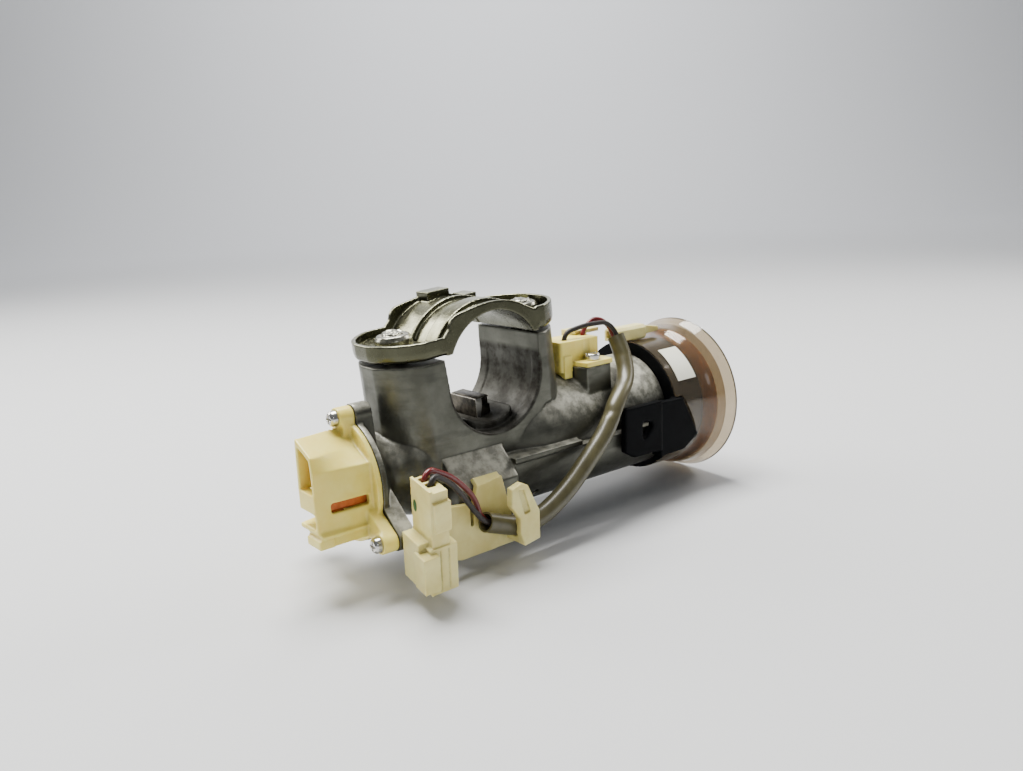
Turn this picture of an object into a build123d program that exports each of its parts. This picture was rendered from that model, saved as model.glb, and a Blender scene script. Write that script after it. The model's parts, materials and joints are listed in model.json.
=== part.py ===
"""Steering column ignition lock: a die-cast housing with its tube clamp, locking bolt,
key cylinder, ignition switch, key reminder switch and immobiliser antenna ring.

Frame: X runs along the lock barrel from the switch end (-X) to the key end (+X), Y runs
along the column tube, Z is up.  The origin is the centre of the tube bore.  The clamp and
its bolts stand square to a bore that is tilted a little about Y against the barrel.
"""
from build123d import *
import os
from math import cos, sin, radians, hypot

# Column clamp
BORE_R = 19.0
CLAMP_TILT = 4.65
CLAMP_HALF = 17.55
PARTING_Z = 10.67
CAP_GAP = 1.33
CAP_ARCH_Z = 3.6
CAP_SKIN = 2.1
CAP_HALF = 18.7
EAR_TOP_Z = 18.1
EAR_FLOOR_Z = 15.0
RIM_WALL = 1.4
BOLT_X = 27.2
BOLT_R = 3.95
BOLT_HOLE_R = 4.0
BOLT_HEAD_R = 6.2
PAD_R = 16.5
GRIP_START = 12.9
RELIEF_R = 19.4

# Lock barrel
AXIS_Z = -27.6
NECK_R = 17.3
BARREL_R = 21.5
KEEL_R = 24.0
BARREL_END = 79.3
DISC_X = -48.4
DISC_R = 20.7
JOURNAL_BORE_R = 9.0
JOURNAL_R = 8.95
TAIL_BORE_R = 4.25
TAIL_R = 4.2
SLEEVE_BORE_R = 18.0
SLEEVE_R = 17.95
PLUG_BORE_R = 11.0
PLUG_R = 10.95

# Locking bolt and its cam
BOLT_BAR_X = 2.3
BOLT_BAR_W = 5.8
BOLT_BAR_Y = (-4.0, 11.0)
BOLT_TOP_Z = -9.6
CARRIAGE_Y = (-7.0, 13.4)
CARRIAGE_Z = (-32.3, -20.5)
COVER_Z = (-49.5, -47.5)
CAM_R = 4.5
CAM_OFFSET = 4.15
CAM_START = 32.5
WINDOW_R = 5.1

# Ignition switch
SWITCH_FACE = -50.2
SWITCH_END = -69.3
SOCKET_FLOOR = -58.6
SHROUD_WALL = 1.5
FLANGE_R = 20.5
EAR_R = 3.3
LUG_R = 3.7
EAR_X = -53.7
SCREW_R = 1.9
SCREW_HEAD_R = 2.6
EAR_SPOTS = ((-3.5, -5.9), (-24.7, -41.7), (22.1, -37.0))
ROTOR_R = 11.6
ROTOR_CHAMBER_R = 11.95

# Key reminder switch
REMINDER_SCREW = (48.2, -13.0)
PLUNGER_AT = (44.5, -1.5)
BLACK_EXIT = (40.4, -6.2)
RED_EXIT = (52.4, -3.6)

# Antenna ring
RING_X = 80.3
RING_END = 109.7

# Lead
SLEEVE_TUBE_R = 3.3
SLEEVE_WALL = 0.6
WIRE_R = 0.9


def block(x0, x1, y0, y1, z0, z1):
    return Pos((x0 + x1) / 2, (y0 + y1) / 2, (z0 + z1) / 2) * Box(x1 - x0, y1 - y0, z1 - z0)


def bar_x(r, x0, x1, y=0.0, z=AXIS_Z):
    return Pos((x0 + x1) / 2, y, z) * Rot(0, 90, 0) * Cylinder(r, x1 - x0)


def bar_y(r, y0, y1, x, z):
    return Pos(x, (y0 + y1) / 2, z) * Rot(90, 0, 0) * Cylinder(r, y1 - y0)


def bar_z(r, z0, z1, x, y):
    return Pos(x, y, (z0 + z1) / 2) * Cylinder(r, z1 - z0)


def outline(points):
    return make_face(Polyline(*points, close=True))


def slab_xy(points, z0, z1):
    return Pos(0, 0, z0) * extrude(outline(points), z1 - z0)


def slab_xz(points, y0, y1):
    return extrude(Plane.XZ.offset(-y1) * outline(points), y1 - y0)


def slab_yz(points, x0, x1):
    return extrude(Plane.YZ.offset(x0) * outline(points), x1 - x0)


def turned(points):
    """A solid of revolution about the barrel axis from (x, radius) points."""
    face = outline([(x, AXIS_Z + r) for x, r in points])
    return revolve(Plane.XZ * face, Axis((0, 0, AXIS_Z), (1, 0, 0)), 360)


def tilted(shape):
    """Brings a shape drawn square to the clamp into the barrel's frame."""
    return Rot(0, -CLAMP_TILT, 0) * shape


def polar(radius, degrees):
    """A (y, z) point round the barrel axis, the angle taken from straight up towards +Y."""
    a = radians(degrees)
    return radius * sin(a), AXIS_Z + radius * cos(a)


def run(points, radii, section_r):
    """A round bar along straight runs joined by tangent arcs."""
    path = FilletPolyline(*points, radius=radii) if radii else Polyline(*points)
    start = path ^ 0
    return sweep(start * Circle(section_r), path=path)


def blend_radii(points, share=0.45):
    """Bend radii from the shorter run beside each corner."""
    radii = []
    for a, b, c in zip(points, points[1:], points[2:]):
        u = Vector(*b) - Vector(*a)
        v = Vector(*c) - Vector(*b)
        half = radians(u.get_angle(v)) / 2
        radii.append(share * min(u.length, v.length) / (sin(half) / cos(half)))
    return radii


# Housing

def tower_plan(grow=0.0):
    """Plan of the whole clamp block: a flat near face with a rounded corner at each end."""
    g = grow
    near = CLAMP_HALF + g
    left = [
        Line((0, -near), (-27.3, -near)),
        ThreePointArc((-27.3, -near), (-34.3 - 0.7 * g, -12.1 - 0.7 * g), (-38.5 - g, -3.6)),
        Line((-38.5 - g, -3.6), (-38.5 - g, 3.6)),
        ThreePointArc((-38.5 - g, 3.6), (-34.3 - 0.7 * g, 12.1 + 0.7 * g), (-27.3, near)),
        Line((-27.3, near), (0, near)),
    ]
    right = [
        Line((0, near), (22.4, near)),
        ThreePointArc((22.4, near), (30.2 + 0.7 * g, 12.0 + 0.7 * g), (34.3 + g, 3.6)),
        Line((34.3 + g, 3.6), (34.3 + g, -3.6)),
        ThreePointArc((34.3 + g, -3.6), (30.2 + 0.7 * g, -12.0 - 0.7 * g), (22.4, -near)),
        Line((22.4, -near), (0, -near)),
    ]
    return make_face(Curve() + left + right)


def clamp_block():
    body = Pos(0, 0, -32) * extrude(tower_plan(), PARTING_Z + 32)
    side = [
        (-39, PARTING_Z + 1), (-39, -14.0), (-36.6, -18.6), (-32.1, -24.5), (-27.5, -30.5),
        (4.2, -30.5), (4.2, -28.0), (9.3, -20.5), (14.5, -17.4), (20.8, -14.6), (35, -14.6),
        (35, PARTING_Z + 1),
    ]
    return tilted(body & slab_xz(side, -19, 19))


def barrel_body():
    neck = Spline(
        (-46.4, AXIS_Z + DISC_R), (-44.6, AXIS_Z + 17.2), (-42.2, AXIS_Z + 14.2),
        (-39.3, AXIS_Z + 12.6), (-36.6, AXIS_Z + 13.2), (-33.6, AXIS_Z + 15.3),
        (-29.0, AXIS_Z + NECK_R), tangents=((0.25, -1, 0), (1, 0.15, 0)),
    )
    edges = [
        Line((DISC_X, AXIS_Z), (DISC_X, AXIS_Z + DISC_R)),
        Line((DISC_X, AXIS_Z + DISC_R), (-46.4, AXIS_Z + DISC_R)),
        neck,
        Line((-29.0, AXIS_Z + NECK_R), (3.5, AXIS_Z + NECK_R)),
        Spline((3.5, AXIS_Z + NECK_R), (10.9, AXIS_Z + 18.9), (20.5, AXIS_Z + BARREL_R),
               tangents=((1, 0.05, 0), (1, 0.05, 0))),
        Line((20.5, AXIS_Z + BARREL_R), (BARREL_END, AXIS_Z + BARREL_R)),
        Line((BARREL_END, AXIS_Z + BARREL_R), (BARREL_END, AXIS_Z)),
        Line((BARREL_END, AXIS_Z), (DISC_X, AXIS_Z)),
    ]
    face = Plane.XZ * make_face(Curve() + edges)
    return revolve(face, Axis((0, 0, AXIS_Z), (1, 0, 0)), 360)


def keel():
    """The thicker lower half of the barrel with its ledge rib and the bottom pocket block."""
    low = bar_x(KEEL_R, 0.4, BARREL_END) & block(0, 80, -30, 30, -60, -29.2)
    rib = block(0.4, 31.4, -24.9, 24.9, -29.2, -27.3)
    foot = block(-12.5, 16, -13, 19.2, -52.0, -32)
    foot = fillet(foot.edges().filter_by(Axis.Z), 3)
    return low + rib + foot


def bracket_boss():
    side = [(-8, -23.5), (-18, -23.5), (-26.3, -32.6), (-26.3, -45.0), (-19, -49.5), (-6, -49.5)]
    boss = slab_yz(side, -24.4, 0.4)
    return fillet(boss.edges().filter_by(Axis.X).sort_by(Axis.Y)[0:2], 0.7)


def switch_lug(y, z):
    """One cast screw lug behind the switch flange, with its web back to the neck."""
    centre_y, centre_z = 0.0, AXIS_Z
    span = hypot(y - centre_y, z - centre_z)
    uy, uz = (y - centre_y) / span, (z - centre_z) / span
    web = [
        (y + LUG_R * uz, z - LUG_R * uy), (y - LUG_R * uz, z + LUG_R * uy),
        (13 * uy - 6.5 * uz, AXIS_Z + 13 * uz + 6.5 * uy),
        (13 * uy + 6.5 * uz, AXIS_Z + 13 * uz - 6.5 * uy),
    ]
    return bar_x(LUG_R, DISC_X, -42.4, y, z) + slab_yz(web, DISC_X, -42.4)


def far_flat(x0, x1):
    """Waste above the slanted flat that both switch flanges have on the far side."""
    return slab_yz([(-2.5, -9.2), (-2.5, 0), (30, 0), (30, -19.7), (16, -15.2)], x0, x1)


def reminder_boss():
    plan = [(42.4, -16.6), (54.2, -16.6), (55.6, -12.0), (55.6, -10.3), (40.6, -10.3), (41.0, -12.5)]
    return slab_xy(plan, -22, -4.0)


def lock_housing():
    body = barrel_body() - far_flat(DISC_X - 1, -45.4)
    body = body + clamp_block() + keel() + bracket_boss() + reminder_boss()
    for y, z in EAR_SPOTS:
        body += switch_lug(y, z)
    # Tube bore, relieved between its two gripping bands, then the raised land under the tube.
    bore = bar_y(BORE_R, -31, 31, 0, 0) + bar_y(RELIEF_R, -GRIP_START, GRIP_START, 0, 0)
    throat = slab_xz([(-19, 0), (19, 0), (19.75, 12), (-19.75, 12)], -31, 31)
    land = bar_y(RELIEF_R + 0.2, -12.5, 12.5, 0, 0) - bar_y(PAD_R, -13, 13, 0, 0)
    land = land & block(-9.8, 9.8, -12.5, 12.5, -25, -12)
    land = fillet(land.edges().filter_by(Axis.Z, tolerance=1e-3), 3.5)
    body = body - tilted(bore + throat) + tilted(land)
    # Axial bores: switch recess, journals and cam chamber, tail bearing, cylinder seat.
    body -= bar_x(12.0, DISC_X - 1, -44.2)
    body -= bar_x(JOURNAL_BORE_R, -45, 10.2)
    body -= bar_x(TAIL_BORE_R, 9, 21)
    body -= bar_x(SLEEVE_BORE_R, 20.5, BARREL_END + 1)
    # Pocket, slot and cover seat of the locking bolt.
    xb = BOLT_BAR_X
    slot = block(xb - 3.0, xb + 3.0, BOLT_BAR_Y[0] - 0.1, BOLT_BAR_Y[1] + 0.1, -24, -10)
    pocket = block(xb - 3.2, xb + 3.2, CARRIAGE_Y[0] - 0.3, CARRIAGE_Y[1] + 0.3, -60, -20.3)
    seat = block(xb - 5.5, xb + 5.5, -9.9, 16.3, -60, COVER_Z[1])
    body -= tilted(slot + pocket + seat)
    # Shear bolt holes, switch screw holes, reminder screw hole and plunger hole.
    for x in (-BOLT_X, BOLT_X):
        body -= tilted(bar_z(BOLT_HOLE_R, -9.5, 12, x, 0))
    for y, z in EAR_SPOTS:
        body -= bar_x(SCREW_R + 0.05, DISC_X - 1, -43.0, y, z)
    body -= bar_z(1.45, -14, -3, *REMINDER_SCREW)
    body -= bar_z(1.65, -12, 0, *PLUNGER_AT)
    # Small cored hole low on the near side and the retaining pin's hole on the far side.
    body -= Pos(14.8, -17.2, -44.9) * Rot(0, 0, 0) * Rot(-44, 0, 0) * Cylinder(1.5, 9)
    body -= bar_y(1.55, 14, 30, 62, AXIS_Z)
    return body


# Clamp cap and its bolts

def cap_skin_side(radius, foot):
    """Side view of the strap between the tube arch and a larger arc, cut off at the foot."""
    return bar_y(radius, -CAP_HALF, CAP_HALF, 0, CAP_ARCH_Z) & block(-24, 24, -20, 20, foot, 40)


def cap_wall(y0, y1):
    """The upstanding edge wall of the strap, whose top rises out of the two ears."""
    top = Spline((-17.4, 20.2), (-14.9, 23.9), (-11.4, 24.7), (-5.7, 25.5), (2.0, 25.7),
                 (7.7, 24.8), (11.4, 23.5), (15.8, 21.0), (20.0, 19.3))
    edges = [
        top,
        Line((20.0, 19.3), (20.0, 13.0)),
        Line((20.0, 13.0), (-22.0, 13.0)),
        Line((-22.0, 13.0), (-22.0, 17.9)),
        Line((-22.0, 17.9), (-19.6, 18.0)),
        Line((-19.6, 18.0), (-17.4, 20.2)),
    ]
    return extrude(Plane.XZ.offset(-y1) * make_face(Curve() + edges), y1 - y0)


def cap_ears():
    """Both ears: the clamp plan grown a little, its lower edge rounded, the key end higher."""
    z0 = PARTING_Z + CAP_GAP
    foot = loft([Pos(0, 0, z0) * tower_plan(-0.4), Pos(0, 0, z0 + 1.0) * tower_plan(0.8)])
    foot += loft([Pos(0, 0, z0 + 1.0) * tower_plan(0.8), Pos(0, 0, z0 + 2.6) * tower_plan(1.15)])
    slab = foot + Pos(0, 0, z0 + 2.6) * extrude(tower_plan(1.15), 5.6)
    left = slab & block(-45, -19.0, -25, 25, 0, EAR_TOP_Z)
    right = slab & block(19.0, 45, -25, 25, 0, 30)
    return left + right


def clamp_cap():
    z0 = PARTING_Z + CAP_GAP
    strap = cap_skin_side(BORE_R + CAP_SKIN, z0)
    walls = cap_wall(-CAP_HALF, -CAP_HALF + RIM_WALL) + cap_wall(CAP_HALF - RIM_WALL, CAP_HALF)
    rib = cap_skin_side(BORE_R + CAP_SKIN + 1.5, EAR_FLOOR_Z)
    broad = rib & block(-30, 30, -12.6, -6.2, 0, 40)
    narrow = rib & block(-30, 30, 1.8, 3.4, 0, 40)
    far_block = block(-4.5, 5.0, 11.5, CAP_HALF, 20, 27.6)
    lump = block(6.5, 11.5, 4.5, 12, 20, 25.4)
    pocket = Pos(0, 0, EAR_FLOOR_Z) * extrude(tower_plan(1.15 - RIM_WALL), 8)
    pocket -= block(-17.0, 16.5, -30, 30, 0, 40)
    ears = cap_ears() - pocket
    cap = ears + strap + walls + broad + narrow + far_block + lump
    cap -= bar_y(BORE_R, -30, 30, 0, CAP_ARCH_Z)
    cap -= bar_y(RELIEF_R, -GRIP_START, GRIP_START, 0, CAP_ARCH_Z)
    cap -= block(-BORE_R, BORE_R, -30, 30, -5, CAP_ARCH_Z)
    for x in (-BOLT_X, BOLT_X):
        cap -= bar_z(4.4, 8, 16, x, 0)
    return tilted(cap)


def shear_bolt(x):
    """A clamp bolt whose hexagon has been sheared off, leaving a low round head and stub."""
    profile = [
        (0, -8.5), (BOLT_R - 0.8, -8.5), (BOLT_R, -7.7), (BOLT_R, EAR_FLOOR_Z),
        (BOLT_HEAD_R, EAR_FLOOR_Z), (BOLT_HEAD_R, 17.6), (5.4, 18.9), (3.6, 19.3), (3.3, 20.1), (0, 20.3),
    ]
    face = Plane.XZ * outline(profile)
    return tilted(Pos(x, 0, 0) * revolve(face, Axis.Z, 360))


# Locking bolt mechanism

def lock_bolt():
    xb = BOLT_BAR_X
    w = BOLT_BAR_W / 2
    bar = block(xb - w, xb + w, BOLT_BAR_Y[0], BOLT_BAR_Y[1], CARRIAGE_Z[1] - 1, BOLT_TOP_Z)
    bar = chamfer(bar.edges().group_by(Axis.Z)[-1], 0.5)
    bar -= block(xb - 0.4, xb + w + 1, BOLT_BAR_Y[0] - 1, BOLT_BAR_Y[0] + 0.9, -12.9, -10.1)
    frame = block(xb - w, xb + w, CARRIAGE_Y[0], CARRIAGE_Y[1], CARRIAGE_Z[0], CARRIAGE_Z[1])
    bolt = tilted(bar + frame)
    y, z = polar(CAM_OFFSET, CAM_START)
    window = bar_x(WINDOW_R, -6, 16, y, z) + bar_x(WINDOW_R, -6, 16, CAM_OFFSET, z)
    window += block(-6, 16, y, CAM_OFFSET, z - WINDOW_R, z + WINDOW_R)
    return bolt - window


def coil_spring(radius, wire, height, turns):
    helix = Helix(pitch=height / turns, height=height, radius=radius)
    return sweep((helix ^ 0) * Circle(wire / 2), path=helix)


def lock_bolt_spring():
    height = CARRIAGE_Z[0] - COVER_Z[1]
    spring = coil_spring(2.3, 0.8, height - 1.2, 5)
    return tilted(Pos(BOLT_BAR_X, 3.2, COVER_Z[1] + 0.6) * spring)


def bottom_cover():
    xb = BOLT_BAR_X
    plate = block(xb - 5.4, xb + 5.4, -9.8, 16.2, COVER_Z[0], COVER_Z[1])
    plate = fillet(plate.edges().filter_by(Axis.Z), 1.0)
    plate -= block(xb - 0.8, xb + 0.8, -6, 12.4, COVER_Z[0] - 1, COVER_Z[0] + 0.6)
    return tilted(plate)


def cam_shaft():
    shaft = turned([
        (-42, 0), (-42, JOURNAL_R), (-34, JOURNAL_R), (-34, 6.0), (-10, 6.0), (-10, JOURNAL_R),
        (-2, JOURNAL_R), (-2, 0),
    ])
    y, z = polar(CAM_OFFSET, CAM_START)
    shaft += bar_x(CAM_R, -3, 9.0, y, z)
    shaft += turned([(8.6, 0), (8.6, 8.6), (10.0, 8.6), (10.0, TAIL_R), (24, TAIL_R), (24, 0)])
    tongue = block(-50, -41.5, -4.0, 4.0, AXIS_Z - 1.5, AXIS_Z + 1.5)
    tail = block(23.5, 30, -3.6, 3.6, AXIS_Z - 1.4, AXIS_Z + 1.4)
    return shaft + tongue + (tail & bar_x(TAIL_R - 0.1, 20, 31))


def return_spring():
    spring = coil_spring(7.4, 1.0, 19.5, 6)
    return Pos(-31.5, 0, AXIS_Z) * Rot(0, 90, 0) * spring


# Key cylinder

def key_cylinder_sleeve():
    sleeve = turned([(24.5, PLUG_BORE_R), (24.5, SLEEVE_R), (99.0, SLEEVE_R), (99.0, PLUG_BORE_R)])
    sleeve += turned([(22.6, 5.0), (22.6, SLEEVE_R), (25.2, SLEEVE_R), (25.2, 5.0)])
    sleeve -= bar_y(1.55, 14, 20, 62, AXIS_Z)
    sleeve -= bar_z(1.65, -17.5, 0, *PLUNGER_AT)
    return sleeve


WAFER_X = (62.0, 67.0, 72.0, 77.0, 82.0, 87.0)


def key_plug():
    plug = turned([
        (25.4, 0), (25.4, PLUG_R), (99.0, PLUG_R), (99.0, 10.0), (101.6, 10.0), (102.2, 9.4), (102.2, 0),
    ])
    plug -= block(25, 30.6, -4.3, 4.3, AXIS_Z - 1.6, AXIS_Z + 1.6)
    plug -= block(58, 103, -1.4, 1.4, AXIS_Z - 4.6, AXIS_Z + 4.6)
    for x in WAFER_X:
        plug -= block(x - 0.8, x + 0.8, -3.6, 3.6, AXIS_Z - 12, AXIS_Z + 12)
        plug -= block(x - 0.8, x + 0.8, 3.5, 6.4, AXIS_Z - 4.5, AXIS_Z + 4.5)
    return plug


def wafer_tumblers():
    """Flat brass wafers, each with its key window at its own height and a spring shoulder."""
    wafers = []
    for n, x in enumerate(WAFER_X):
        shift = (0.0, 0.6, -0.5, 0.4, -0.3, 0.7)[n]
        plate = block(x - 0.7, x + 0.7, -3.5, 3.5, AXIS_Z - 9.6, AXIS_Z + 9.6)
        plate += block(x - 0.7, x + 0.7, 3.0, 6.2, AXIS_Z + 2.6, AXIS_Z + 3.9)
        low = AXIS_Z + shift
        plate -= block(x - 2, x + 2, -1.6, 1.6, low - 5.0, low + 5.0)
        wafers.append(plate)
    return Compound(children=wafers)


def wafer_springs():
    """Small folded springs between each wafer's shoulder and the floor of its side slot."""
    springs = []
    low, high = AXIS_Z - 4.4, AXIS_Z + 2.5
    folds = 6
    pitch = (high - low - 0.3) / folds
    for x in WAFER_X:
        spring = block(x - 0.5, x + 0.5, 4.2, 5.9, low, low + 0.3)
        for k in range(folds):
            z = low + pitch * k
            bend = (5.6, 5.9) if k % 2 == 0 else (4.2, 4.5)
            spring += block(x - 0.5, x + 0.5, *bend, z, z + pitch + 0.3)
            spring += block(x - 0.5, x + 0.5, 4.2, 5.9, z + pitch, z + pitch + 0.3)
        springs.append(spring)
    return Compound(children=springs)


def cylinder_bezel():
    bezel = turned([(99.1, 10.2), (99.1, 18.4), (101.5, 18.4), (103.2, 17.2), (103.2, 14.0), (101.8, 10.2)])
    return bezel


def retaining_pin():
    pin = bar_y(1.5, 15.2, 24.2, 62, AXIS_Z)
    return pin


# Ignition switch

FLANGE_SECTION = [(-17.5, -37.0), (-17.1, -18.1), (-9.1, -14.2), (-2.3, -9.0), (-1.6, -37.0)]
MOUTH_SECTION = [(-17.0, -36.8), (-16.4, -17.9), (-15.8, -13.0), (-6.2, -8.6), (-5.2, -36.8)]


def shroud_face(x, wall=0.0):
    """The shroud's outline at one x, drawn in by a wall thickness."""
    share = (SWITCH_FACE - x) / (SWITCH_FACE - SWITCH_END)
    face = outline([
        ((1 - share) * y0 + share * y1, (1 - share) * z0 + share * z1)
        for (y0, z0), (y1, z1) in zip(FLANGE_SECTION, MOUTH_SECTION)
    ])
    if wall:
        face = offset(face, -wall, kind=Kind.INTERSECTION)
    return Plane.YZ.offset(x) * face


def flange_ear(y, z):
    span = hypot(y, z - AXIS_Z)
    uy, uz = y / span, (z - AXIS_Z) / span
    web = [
        (y + EAR_R * uz, z - EAR_R * uy), (y - EAR_R * uz, z + EAR_R * uy),
        (14 * uy - 4.4 * uz, AXIS_Z + 14 * uz + 4.4 * uy),
        (14 * uy + 4.4 * uz, AXIS_Z + 14 * uz - 4.4 * uy),
    ]
    return bar_x(EAR_R, EAR_X, DISC_X, y, z) + slab_yz(web, EAR_X + 0.9, DISC_X)


def switch_housing():
    flange = bar_x(FLANGE_R, SWITCH_FACE, DISC_X) - far_flat(SWITCH_FACE - 1, DISC_X + 1)
    shroud = loft([shroud_face(SWITCH_FACE + 0.4), shroud_face(SWITCH_END)], ruled=True)
    drum = bar_x(15.5, -54.5, SWITCH_FACE + 0.4) + bar_x(13.6, SOCKET_FLOOR, -54.0)
    body = flange + shroud + drum
    for y, z in EAR_SPOTS:
        body += flange_ear(y, z)
    # Skirt under the shroud with its ledge, and the lip that stands out under the mouth.
    body += block(SWITCH_END + 0.7, SWITCH_FACE, -17.6, -9.0, -41.2, -36.6)
    body += block(SWITCH_END + 0.7, SWITCH_FACE, -18.3, -9.0, -37.8, -37.0)
    body += block(SWITCH_END - 0.4, SWITCH_END + 4.5, -18.0, -9.5, -41.2, -38.4)
    # Plug socket, the notch in its far wall, the rotor chamber and the near side window.
    body -= loft([shroud_face(SOCKET_FLOOR, SHROUD_WALL), shroud_face(SWITCH_END - 0.5, SHROUD_WALL)],
                 ruled=True)
    body -= block(SWITCH_END - 1, -64.0, -8.0, -3.0, -35.3, -25.0)
    body -= bar_x(ROTOR_CHAMBER_R, -56.4, DISC_X + 1)
    body -= bar_x(4.05, SOCKET_FLOOR + 0.6, -50)
    body -= block(-64.3, -51.5, -25, -13.0, -31.0, -28.0)
    # Bar across the mouth behind which the plug's latch snaps.
    body += block(SWITCH_END - 0.2, -66.0, -16.4, -6.4, -30.5, -24.5)
    for y, z in EAR_SPOTS:
        body -= bar_x(2.15, EAR_X - 1, DISC_X + 1, y, z)
    for solid in switch_terminals().solids():
        body -= solid
    return body


# Blade (y, z) in the socket, then the (y, z) of its contact head over the rotor.
TERMINAL_SPOTS = (
    (-13.0, -20.5, -7.45, -26.1), (-13.0, -33.6, -7.2, -29.95), (-8.9, -15.6, -3.8, -21.0),
    (-8.9, -20.5, -6.2, -23.2), (-8.9, -33.7, -3.8, -34.2),
)


def switch_terminals():
    """Flat blades through the socket floor, each with a strap to its contact head."""
    made = []
    for y, z, head_y, head_z in TERMINAL_SPOTS:
        blade = block(-64.4, -56.4, y - 0.4, y + 0.4, z - 1.6, z + 1.6)
        blade = chamfer(blade.edges().group_by(Axis.X)[0], 0.25)
        span = hypot(head_y - y, head_z - z)
        wy, wz = -0.6 * (head_z - z) / span, 0.6 * (head_y - y) / span
        strap = slab_yz([(y + wy, z + wz), (head_y + wy, head_z + wz), (head_y - wy, head_z - wz),
                         (y - wy, z - wz)], -57.0, -56.4)
        made.append(blade + strap + bar_x(1.0, -57.0, -55.85, head_y, head_z))
    made.append(block(-64.0, -51.0, -15.3, -14.5, -30.9, -28.1))
    return Compound(children=made)


def switch_rotor():
    rotor = bar_x(ROTOR_R, -54.4, -44.8)
    rotor += bar_x(4.0, -57.6, -54.0)
    rotor -= block(-50.4, -44, -4.1, 4.1, AXIS_Z - 1.6, AXIS_Z + 1.6)
    for k in range(4):
        y, z = polar(ROTOR_R + 0.5, 180 + 38 * k)
        rotor -= bar_x(1.7, -50, -44, y, z)
    return rotor


def rotor_contact():
    """The sprung copper wiper plate that turns with the rotor."""
    plate = turned([(-55.2, 4.6), (-55.2, 9.6), (-54.5, 9.6), (-54.5, 4.6)])
    plate -= block(-56, -54, -12, 12, AXIS_Z - 12, AXIS_Z - 5.4)
    for a in (20, 140, 260):
        y, z = polar(7.6, a)
        plate += bar_x(1.3, -55.8, -54.5, y, z) & block(-56, -54, -12, 12, AXIS_Z - 12, AXIS_Z + 12)
    return plate.solids().sort_by(SortBy.VOLUME)[-1]


def switch_screw(y, z):
    profile = [(-56.2, 0), (-56.0, 1.7), (-55.3, 2.4), (-53.7, SCREW_HEAD_R), (-53.7, SCREW_R),
               (-44.2, SCREW_R), (-43.6, 1.2), (-43.6, 0)]
    face = Plane.XZ * outline(profile)
    screw = Pos(0, y, z) * revolve(face, Axis.X, 360)
    cross = block(-57, -55.2, y - 0.35, y + 0.35, z - 1.5, z + 1.5)
    cross += block(-57, -55.2, y - 1.5, y + 1.5, z - 0.35, z + 0.35)
    return screw - cross


# Key reminder switch

def reminder_switch_body():
    body = block(35.2, 54.6, -10.2, 2.6, -5.9, 5.4)
    body = fillet(body.edges().filter_by(Axis.Z), 1.2)
    body = body - bar_x(BARREL_R + 0.25, 30, 60)
    ear = slab_xy([(42.0, -17.0), (54.8, -17.0), (56.0, -10.6), (54.4, -9.0), (41.6, -9.0), (41.0, -11.0)],
                  -3.95, -2.2)
    tail = block(36.4, 40.2, -10.8, -4, -8.2, 0)
    tail -= bar_x(BARREL_R + 0.25, 30, 60)
    body += ear + tail
    body -= bar_z(1.65, -5, 0, *REMINDER_SCREW)
    body -= bar_z(3.2, -2.2, 8, *REMINDER_SCREW)
    body -= bar_z(1.65, -8, 1.5, *PLUNGER_AT)
    body -= block(40.5, 55.7, -18, -10.2, -9, -3.95)
    body -= bar_z(WIRE_R + 0.25, 0.5, 6, *BLACK_EXIT) + bar_z(WIRE_R + 0.25, 0.5, 6, *RED_EXIT)
    return body


def reminder_cover():
    cover = block(37.5, 60.5, 2.75, 9.5, -5.2, 3.6)
    cover += block(50.0, 62.5, -2.0, 6.0, 5.5, 7.0)
    cover += block(50.0, 60.5, 2.75, 6.0, 3.0, 6.0)
    cover -= bar_x(BARREL_R + 0.25, 30, 70)
    return cover.solids().sort_by(SortBy.VOLUME)[-1]


def reminder_screw():
    head = bar_z(2.9, -2.2, 0.2, *REMINDER_SCREW)
    head = fillet(head.edges().group_by(Axis.Z)[-1], 0.7)
    head -= block(44, 52, REMINDER_SCREW[1] - 0.4, REMINDER_SCREW[1] + 0.4, -0.7, 1)
    return head + bar_z(1.4, -10, -2.0, *REMINDER_SCREW)


def reminder_plunger():
    plunger = bar_z(1.6, -16.3, -1.2, *PLUNGER_AT)
    return fillet(plunger.edges().group_by(Axis.Z)[0], 0.9)


# Antenna ring end

def ring_holder():
    """Black collar on the barrel's end with a latch arm that grips the near side."""
    collar = turned([
        (79.35, 18.2), (79.35, 26.2), (80.2, 26.2), (80.2, 24.8), (97.0, 24.8), (97.0, 18.2),
    ])
    arm = slab_xz([(50.8, -19.7), (50.5, -36.2), (55.3, -39.1), (70.4, -39.6), (70.4, -19.9)],
                  -27.2, -24.5)
    root = slab_xz([(70.3, -20.9), (70.3, -42.4), (84.0, -42.0), (92.0, -37.6), (83.4, -21.2)], -26.6, -21.5)
    root -= bar_x(KEEL_R + 0.4, 60, BARREL_END + 0.05)
    window = slab_xz([(60.0, -26.3), (64.9, -27.1), (65.6, -28.8), (62.4, -32.2), (60.1, -33.0)],
                     -30, -24)
    arm = arm - window
    holder = collar + arm + root
    holder -= bar_x(18.2, 50, 99)
    return holder


BELL_OUTER = [(RING_X, 26.3), (96.0, 26.5), (98.0, 27.2), (100.0, 28.7), (103.0, 29.2), (105.5, 29.8),
              (107.6, 30.9), (RING_END, 31.9)]
BELL_INNER = [(RING_END, 31.0), (105.2, 24.4), (104.4, 18.8), (103.3, 18.8), (103.9, 24.6), (106.0, 29.0),
              (104.6, 28.5), (101.0, 28.0), (99.0, 26.5), (96.6, 25.4), (RING_X, 25.15)]


def antenna_ring():
    """Clear bell round the key cylinder, cut away where the latch arm comes through."""
    bell = turned(BELL_OUTER + BELL_INNER)
    gap = slab_xz([(75, -20.6), (84.2, -20.6), (93.3, -37.6), (85.0, -43.2), (75, -43.2)], -40, -10)
    return bell - gap


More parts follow.
